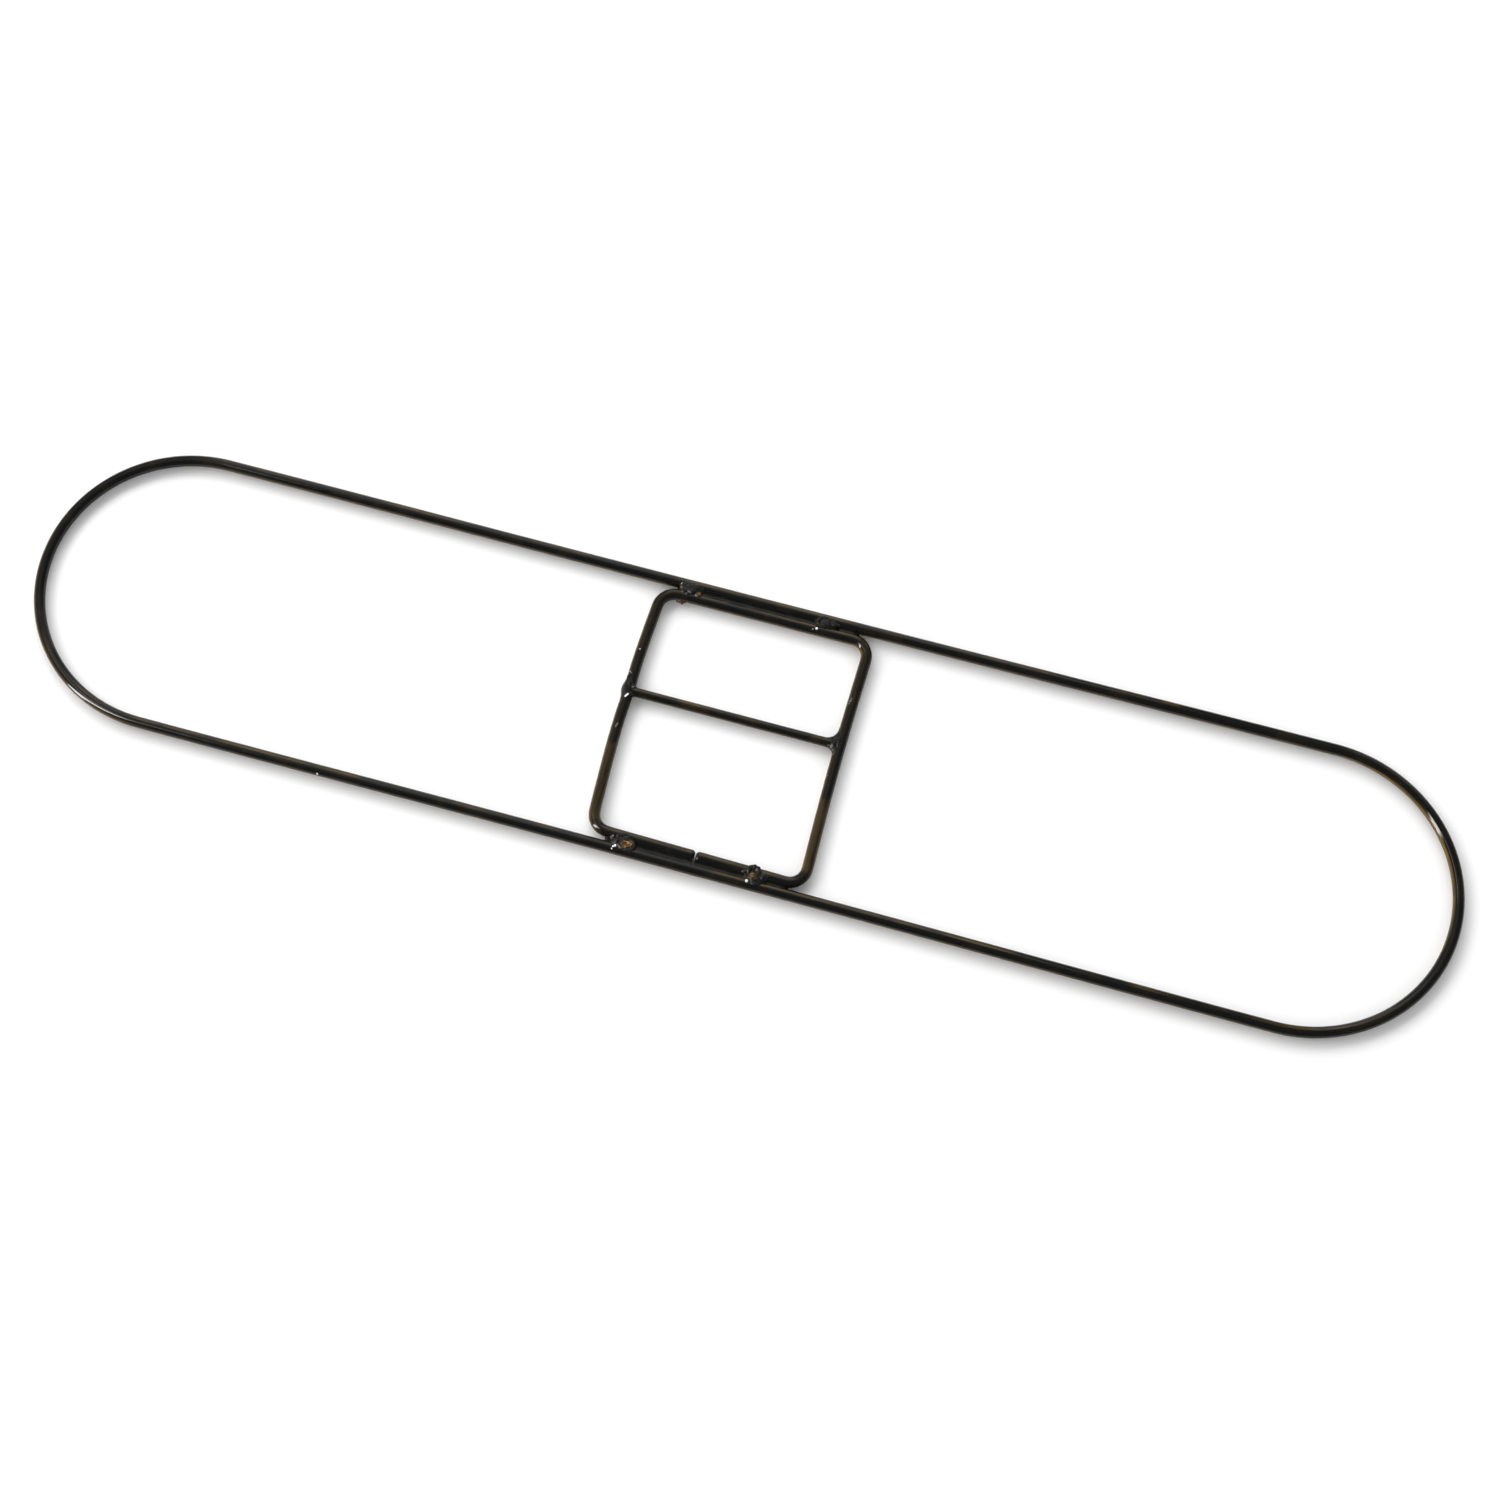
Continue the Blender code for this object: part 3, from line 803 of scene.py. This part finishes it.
def groove_mesh(name, first, last, rear):
    """A ribbon across the groove, hollow on top like a meniscus, thinner towards its two ends."""
    steps = round((last - first) / GROOVE_RINGS_APART)
    reach = max(abs(first), abs(last))
    flank = ROD_RADIUS - math.sqrt(ROD_RADIUS ** 2 - GROOVE_TOP ** 2)
    row = REAR_RIPPLE_ROW if rear else FRONT_RIPPLE_ROW
    vertices = []
    for step in range(steps + 1):
        x = first + (last - first) * step / steps
        outer = run_y(x) - ROD_RADIUS
        inner = (INNER_REAR if rear else -front_bar_y(x)) + ROD_RADIUS
        middle = (outer + inner) / 2
        half = (outer - inner) / 2 + flank + GROOVE_BITE
        full = smooth_share(GROOVE_END_SHARE + (reach - abs(x)) / GROOVE_TAPER)
        ripple = noise.noise(Vector((x / GROOVE_RIPPLE_LENGTH, row, 0.0)))
        profile = []
        for side in range(GROOVE_SIDES + 1):
            across = 1 - 2 * side / GROOVE_SIDES
            top = GROOVE_TOP * (1 + GROOVE_RIPPLE * ripple) - GROOVE_HOLLOW * (1 - across * across)
            profile.append((across * half, top * full))
        profile += [(-half, GROOVE_BOTTOM * full), (half, GROOVE_BOTTOM * full)]
        for across, height in profile:
            y = middle + across
            vertices.append((x, y if rear else -y, ROD_RADIUS + height))
    ring = GROOVE_SIDES + 3
    faces = [tuple(range(ring)), tuple(range(steps * ring, (steps + 1) * ring))]
    for step in range(steps):
        for corner in range(ring):
            following = (corner + 1) % ring
            here = step * ring
            there = here + ring
            faces.append((here + corner, here + following, there + following, there + corner))
    mesh = bpy.data.meshes.new(name)
    mesh.from_pydata(vertices, [], faces)
    outward(mesh)
    mesh.shade_smooth()
    mesh.set_sharp_from_angle(angle=math.radians(GROOVE_SHARP_DEGREES))
    return mesh


def add_grooves():
    for name, numbers in GROOVES.items():
        mesh = groove_mesh(name, *numbers)
        mesh.materials.append(pooled_lacquer(name))
        add_piece(name, mesh)


# Welds. Each is a heap of lumps on stubs of the rods, fused, smoothed and then roughened.

class Weld:
    """The lumps of one weld. Their points and sizes are in millimetres, z from the floor."""

    def __init__(self):
        self.bm = bmesh.new()
        self.amber = []
        # Spots of painted white glint, where the weld catches the lamps.
        self.glints_and_chips = []

    def lump(self, x, y, z, half_x, half_y, half_z, turn=0.0):
        """An ellipsoid about a point, turned about Z by some degrees."""
        sizes = Matrix.Diagonal((half_x, half_y, half_z, 1.0))
        turned = Matrix.Rotation(math.radians(turn), 4, "Z") @ sizes
        matrix = Matrix.Scale(MM, 4) @ Matrix.Translation((x, y, z)) @ turned
        bmesh.ops.create_icosphere(self.bm, subdivisions=LUMP_SUBDIVISIONS, radius=1.0, matrix=matrix)

    def lumps(self, *rows):
        """Several lumps, each row as lump takes it."""
        for row in rows:
            self.lump(*row)

    def ridge(self, points, size):
        """A bead of overlapping lumps through the points."""
        for here, there in zip(points, points[1:]):
            steps = max(1, math.ceil((Vector(there) - Vector(here)).length / (size * RIDGE_STEP)))
            for step in range(steps):
                at = Vector(here).lerp(Vector(there), step / steps)
                self.lump(at.x, at.y, at.z, size, size, size * RIDGE_FLATNESS)
        self.lump(*points[-1], size, size, size * RIDGE_FLATNESS)

    def rod(self, start, end, radius):
        """A stub of rod, in metres, between two points in plan, a little thinner than the real rod."""
        first = Vector((*start, ROD_RADIUS))
        last = Vector((*end, ROD_RADIUS))
        along = last - first
        matrix = Matrix.Translation((first + last) / 2) @ along.to_track_quat("Z", "Y").to_matrix().to_4x4()
        sunk = radius - STUB_SINK
        bmesh.ops.create_cone(
            self.bm, cap_ends=True, segments=STUB_SIDES, radius1=sunk, radius2=sunk, depth=along.length,
            matrix=matrix)

    def fused(self, name, seed):
        """The lumps as one mesh with the weld's grain, and an amber share and a painted glint share at each
        vertex.
        """
        mesh = bpy.data.meshes.new(name)
        self.bm.to_mesh(mesh)
        self.bm.free()
        maker = bpy.data.objects.new(name + "_maker", mesh)
        bpy.context.scene.collection.objects.link(maker)
        remesh = maker.modifiers.new("fuse", "REMESH")
        remesh.mode = "VOXEL"
        remesh.voxel_size = VOXEL
        smooth = maker.modifiers.new("smooth", "SMOOTH")
        smooth.factor = FUSE_SMOOTHING
        smooth.iterations = FUSE_SMOOTHINGS
        graph = bpy.context.evaluated_depsgraph_get()
        result = bpy.data.meshes.new_from_object(maker.evaluated_get(graph))
        bpy.data.objects.remove(maker)
        roughen(result, seed)
        for share_name, spots in (("amber", self.amber), ("glints_and_chips", self.glints_and_chips)):
            attribute = result.attributes.new(share_name, "FLOAT", "POINT")
            shares = [share_in_spots(vertex.co, spots) for vertex in result.vertices]
            attribute.data.foreach_set("value", shares)
        result.shade_smooth()
        return result


def share_in_spots(place, spots):
    """The most that any spot gives a place: its strength inside half its radius, fading outwards.

    Spots are (x, y, radius, strength), in millimetres apart from the strength.
    """
    share = 0.0
    for x, y, radius, strength in spots:
        away = math.hypot(place.x - x * MM, place.y - y * MM) / (radius * MM)
        share = max(share, strength * smooth_share(SPOT_START - SPOT_FALL * away))
    return share


def roughen(mesh, seed):
    """Moves each vertex along its normal by the weld's grain."""
    shift = Vector([seed * step for step in GRAIN_STEPS])
    normals = [vertex.normal.copy() for vertex in mesh.vertices]
    for vertex, normal in zip(mesh.vertices, normals):
        place = vertex.co / WELD_GRAIN_LENGTH + shift
        coarse = noise.noise(place)
        fine = noise.noise(place * FINE_GRAIN_SCALE)
        vertex.co += normal * WELD_GRAIN * (coarse + FINE_GRAIN_SHARE * fine)
    mesh.update()


def add_spatter(weld, middle_x, middle_y, randoms):
    """Small beads that the weld threw onto the tops of the two rods beside it."""
    for _ in range(SPATTER_COUNT):
        x = middle_x + randoms.uniform(-SPATTER_REACH, SPATTER_REACH)
        side = randoms.choice((-SPATTER_SIDE, SPATTER_SIDE))
        y = middle_y + side + randoms.uniform(-SPATTER_STRAY, SPATTER_STRAY)
        size = randoms.uniform(*SPATTER_SIZES)
        weld.lump(x, y, 2 * ROD_RADIUS / MM - SPATTER_SINK, size, size, size)


def groove_rods(weld, x, rear):
    """Stubs of the loop's run and the inner frame's bar under a weld in the groove between them."""
    sign = 1 if rear else -1
    here = x * MM
    for there in (here - STUB_HALF_LENGTH, here + STUB_HALF_LENGTH):
        weld.rod((here, sign * run_y(here)), (there, sign * run_y(there)), ROD_RADIUS)
        bar_here = INNER_REAR if rear else front_bar_y(here)
        bar_there = INNER_REAR if rear else front_bar_y(there)
        weld.rod((here, bar_here), (there, bar_there), ROD_RADIUS)


def rear_left_weld(randoms):
    weld = Weld()
    groove_rods(weld, -31.5, True)
    weld.lump(-33.2, 56.7, 3.6, 5.4, 3.0, 1.8, 4)
    weld.lumps(
        (-36.9, 57.5, 4.4, 1.9, 1.5, 0.7, 20), (-34.2, 58.1, 4.9, 2.0, 1.3, 0.6, -20),
        (-31.2, 57.9, 4.8, 1.9, 1.4, 0.6, 30), (-33.0, 55.9, 4.9, 2.2, 1.3, 0.55, -15),
        (-36.0, 55.4, 4.6, 1.6, 1.2, 0.55, 10), (-29.2, 58.0, 4.3, 1.5, 1.0, 0.5, -10),
        (-30.1, 55.0, 4.6, 1.7, 1.1, 0.6, -15), (-34.3, 54.1, 4.6, 1.2, 0.7, 0.4, 10),
    )
    # The spike in front of the bar.
    weld.lumps(
        (-36.4, 51.1, 1.9, 2.4, 0.80, 0.9, 8), (-36.2, 50.7, 1.9, 1.3, 0.60, 0.7, 6),
        (-36.0, 50.2, 1.9, 0.5, 0.55, 0.50),
    )
    weld.amber = [(-29.8, 55.0, 1.6, 0.36), (-34.4, 53.9, 1.1, 0.28), (-36.0, 50.1, 2.0, 0.55)]
    # Painted white glints.
    weld.glints_and_chips = [(-38.0, 58.4, 0.2, 0.5), (-38.1, 57.8, 0.22, 0.5), (-33.6, 58.1, 0.2, 0.10)]
    add_spatter(weld, -33.5, 56.3, randoms)
    return weld


def rear_right_weld(randoms):
    weld = Weld()
    groove_rods(weld, 25.2, True)
    weld.lump(25.4, 56.9, 3.6, 5.2, 3.2, 1.9, 3)
    swirl = []
    for step in range(10):
        angle = math.radians(210 - 34 * step)
        reach = 3.1 - 0.22 * step
        swirl.append((24.7 + reach * math.cos(angle), 57.3 + 0.75 * reach * math.sin(angle), 4.9))
    weld.ridge(swirl, 0.75)
    weld.ridge([(27.4, 57.3, 4.9), (28.9, 56.7, 4.8), (30.4, 57.0, 4.5)], 0.8)
    weld.ridge([(21.0, 54.7, 4.5), (22.8, 55.2, 4.8), (24.8, 55.2, 4.9)], 0.7)
    weld.lump(21.9, 53.4, 4.7, 0.8, 0.7, 0.6)
    weld.lump(20.4, 52.8, 4.7, 0.4, 0.4, 0.3)
    weld.amber = [(27.0, 54.2, 0.7, 0.15)]
    # Painted white glints.
    weld.glints_and_chips = [(21.9, 53.4, 0.52, 1.0), (20.4, 52.8, 0.25, 0.4)]
    add_spatter(weld, 25.2, 56.1, randoms)
    return weld


def front_left_weld(randoms):
    weld = Weld()
    groove_rods(weld, -30.4, False)
    weld.lump(-30.0, -55.9, 3.6, 5.6, 3.5, 1.9, -3)
    ring = []
    for step in range(13):
        angle = math.radians(30 * step)
        ring.append((-28.5 + 3.3 * math.cos(angle), -56.2 + 2.3 * math.sin(angle), 4.9))
    weld.ridge(ring, 0.6)
    for across, reach in ((-1.9, 1.0), (-0.6, 1.7), (0.8, 1.8), (2.0, 1.1)):
        weld.lump(-28.5 + across, -56.1, 4.9, reach, 0.42, 0.75, FLUX_STREAK_DEGREES)
    weld.lumps(
        (-33.2, -58.2, 4.7, 1.2, 0.8, 0.6, 40), (-34.1, -59.2, 4.3, 0.8, 0.6, 0.6, 0),
        (-34.9, -54.3, 4.7, 0.9, 0.9, 0.5, 0), (-32.9, -55.7, 5.0, 1.2, 1.4, 0.7, 15),
    )
    weld.ridge([(-33.0, -53.3, 4.7), (-30.6, -52.5, 5.0), (-28.0, -53.0, 4.9)], 0.9)
    weld.amber = [(-29.6, -56.6, 1.6, 0.8), (-27.3, -55.8, 1.8, 0.5), (-28.4, -56.1, 1.4, 1.0)]
    # Painted white glints.
    weld.glints_and_chips = [
        (-33.0, -58.0, 0.5, 1.0), (-33.7, -58.5, 0.35, 1.0), (-34.1, -59.6, 0.35, 1.0),
        (-35.0, -54.3, 0.3, 0.3), (-28.1, -55.6, 0.42, 0.25),
    ]
    add_spatter(weld, -30.8, -56.0, randoms)
    return weld


def front_right_weld(randoms):
    weld = Weld()
    groove_rods(weld, 25.2, False)
    weld.lump(25.6, -55.8, 3.5, 5.0, 3.3, 1.9, -4)
    for step in range(17):
        angle = math.radians(-40 + 15 * step)
        size = 0.95 + 0.18 * math.sin(2.3 * step)
        weld.lump(24.5 + 2.2 * math.cos(angle), -53.3 + 1.8 * math.sin(angle), 4.7, size, size, size * 0.8)
    weld.lump(24.3, -53.6, 4.1, 1.7, 1.5, 0.9)
    weld.lumps(
        (28.9, -54.7, 4.6, 2.1, 1.7, 0.9, 0), (21.0, -54.3, 4.6, 1.3, 0.8, 0.6, 20),
        (22.8, -57.8, 4.7, 0.9, 0.8, 0.6, 0), (26.3, -58.1, 4.4, 2.4, 1.0, 0.8, 0),
        (24.4, -55.9, 4.8, 1.2, 0.9, 0.6, 25),
    )
    weld.amber = [(24.2, -55.4, 1.5, 0.46), (25.9, -56.0, 1.1, 0.30)]
    # Painted white glints.
    weld.glints_and_chips = [(22.7, -58.0, 0.58, 1.0), (19.7, -54.5, 0.22, 0.35)]
    add_spatter(weld, 25.2, -56.0, randoms)
    return weld


def left_cross_weld(randoms):
    weld = Weld()
    for low, high in ((-4, 4), (4, 12), (12, 20)):
        ends = [(left_leg_x(y * MM), y * MM) for y in (low, high)]
        weld.rod(*ends, ROD_RADIUS)
    weld.rod((left_leg_x(CROSS_Y), CROSS_Y), (-40 * MM, CROSS_Y), CROSS_RADIUS)
    weld.lump(-47.6, 8.6, 2.9, 1.9, 6.2, 2.1, -3)
    weld.lump(-48.0, 8.0, 2.6, 1.9, 3.6, 1.8, 0)
    weld.lumps(
        (-46.6, 5.0, 4.6, 0.8, 1.9, 0.5, -28), (-46.8, 10.6, 4.7, 1.0, 1.6, 0.5, 12),
        (-48.0, 13.0, 4.2, 0.9, 1.5, 0.5, -8), (-47.2, 15.2, 4.4, 0.7, 1.0, 0.4, 10),
        (-47.7, 1.6, 4.2, 0.6, 1.0, 0.4, 0), (-45.3, 9.3, 4.3, 0.9, 1.3, 0.5, 30),
        (-45.0, 6.0, 4.2, 0.8, 0.9, 0.5, 0),
    )
    weld.lump(-44.2, CROSS_Y / MM, 2.4, 1.5, 2.3, 1.9)
    # Painted white glints.
    weld.glints_and_chips = [(-47.0 + 0.2 * step, 4.2 + 0.3 * step, 0.36, 1.0) for step in range(5)]
    weld.glints_and_chips += [(-47.8, 14.7, 0.22, 0.7), (-47.4, 1.6, 0.24, 0.7), (-45.0, 9.0, 0.24, 0.3)]
    for _ in range(14):
        size = randoms.uniform(0.35, 0.75)
        x = randoms.uniform(-48.6, -45.2)
        y = randoms.uniform(1.5, 15.0)
        z = 4.35 - 0.35 * abs(x + 46.9)
        weld.lump(x, y, z, size, size * 1.3, size * 0.7, -20)
    for _ in range(6):
        y = 7 + randoms.uniform(-14, 14)
        size = randoms.uniform(0.2, 0.36)
        x = left_leg_x(y * MM) / MM + randoms.uniform(-1.3, 1.0)
        weld.lump(x, y, 4.3, size, size, size)
    return weld


def right_cross_weld(randoms):
    """A smooth saddle that flares from the cross rod onto the leg in two hollow fillets."""
    weld = Weld()
    for low, high in ((-3, 4), (4, 11), (11, 19)):
        ends = [(right_leg_x(y * MM), y * MM) for y in (low, high)]
        weld.rod(*ends, ROD_RADIUS)
    weld.rod((36 * MM, CROSS_Y), (right_leg_x(CROSS_Y), CROSS_Y), CROSS_RADIUS)
    leg_side = (right_leg_x(CROSS_Y) - ROD_RADIUS) / MM
    for side, hollow in ((1, 4.8), (-1, 3.4)):
        rod_side = (CROSS_Y + side * CROSS_RADIUS) / MM
        for step in range(13):
            angle = math.radians(90 * step / 12)
            size = 1.5 - 0.5 * abs(step - 6) / 6
            reach = hollow + size
            x = leg_side - hollow + reach * math.sin(angle)
            y = rod_side + side * (hollow - reach * math.cos(angle))
            weld.lump(x, y, 2.5, size, size, size + 0.35)
    weld.lump(42.0, CROSS_Y / MM + 0.4, 3.0, 2.4, 3.0, 1.9)
    weld.lump(43.5, 9.2, 3.2, 1.4, 4.6, 1.8)
    weld.lump(43.3, 4.8, 3.1, 1.2, 2.6, 1.7)
    # Painted white glints.
    weld.glints_and_chips = [(42.35, 2.8, 0.4, 0.2), (44.2, 12.3, 0.25, 0.12)]
    for _ in range(5):
        y = 7 + randoms.uniform(-12, 12)
        size = randoms.uniform(0.2, 0.34)
        x = right_leg_x(y * MM) / MM + randoms.uniform(-1.2, 1.2)
        weld.lump(x, y, 4.4, size, size, size)
    return weld


WELDS = (
    rear_left_weld, rear_right_weld, front_left_weld, front_right_weld, left_cross_weld,
    right_cross_weld,
)


def add_welds():
    randoms = random.Random(SPATTER_SEED)
    for seed, make in enumerate(WELDS):
        node = make.__name__
        mesh = make(randoms).fused(node + "_bead", seed)
        mesh.materials.clear()
        mesh.materials.append(weld_lacquer(node + "_lacquer"))
        add_piece(node + "_bead", mesh, node)


def set_view():
    settings = bpy.context.scene.view_settings
    settings.view_transform = "Standard"
    settings.look = "None"


add_camera()
set_view()
add_room()
add_lights()
add_floor()
add_rods()
add_grooves()
add_welds()
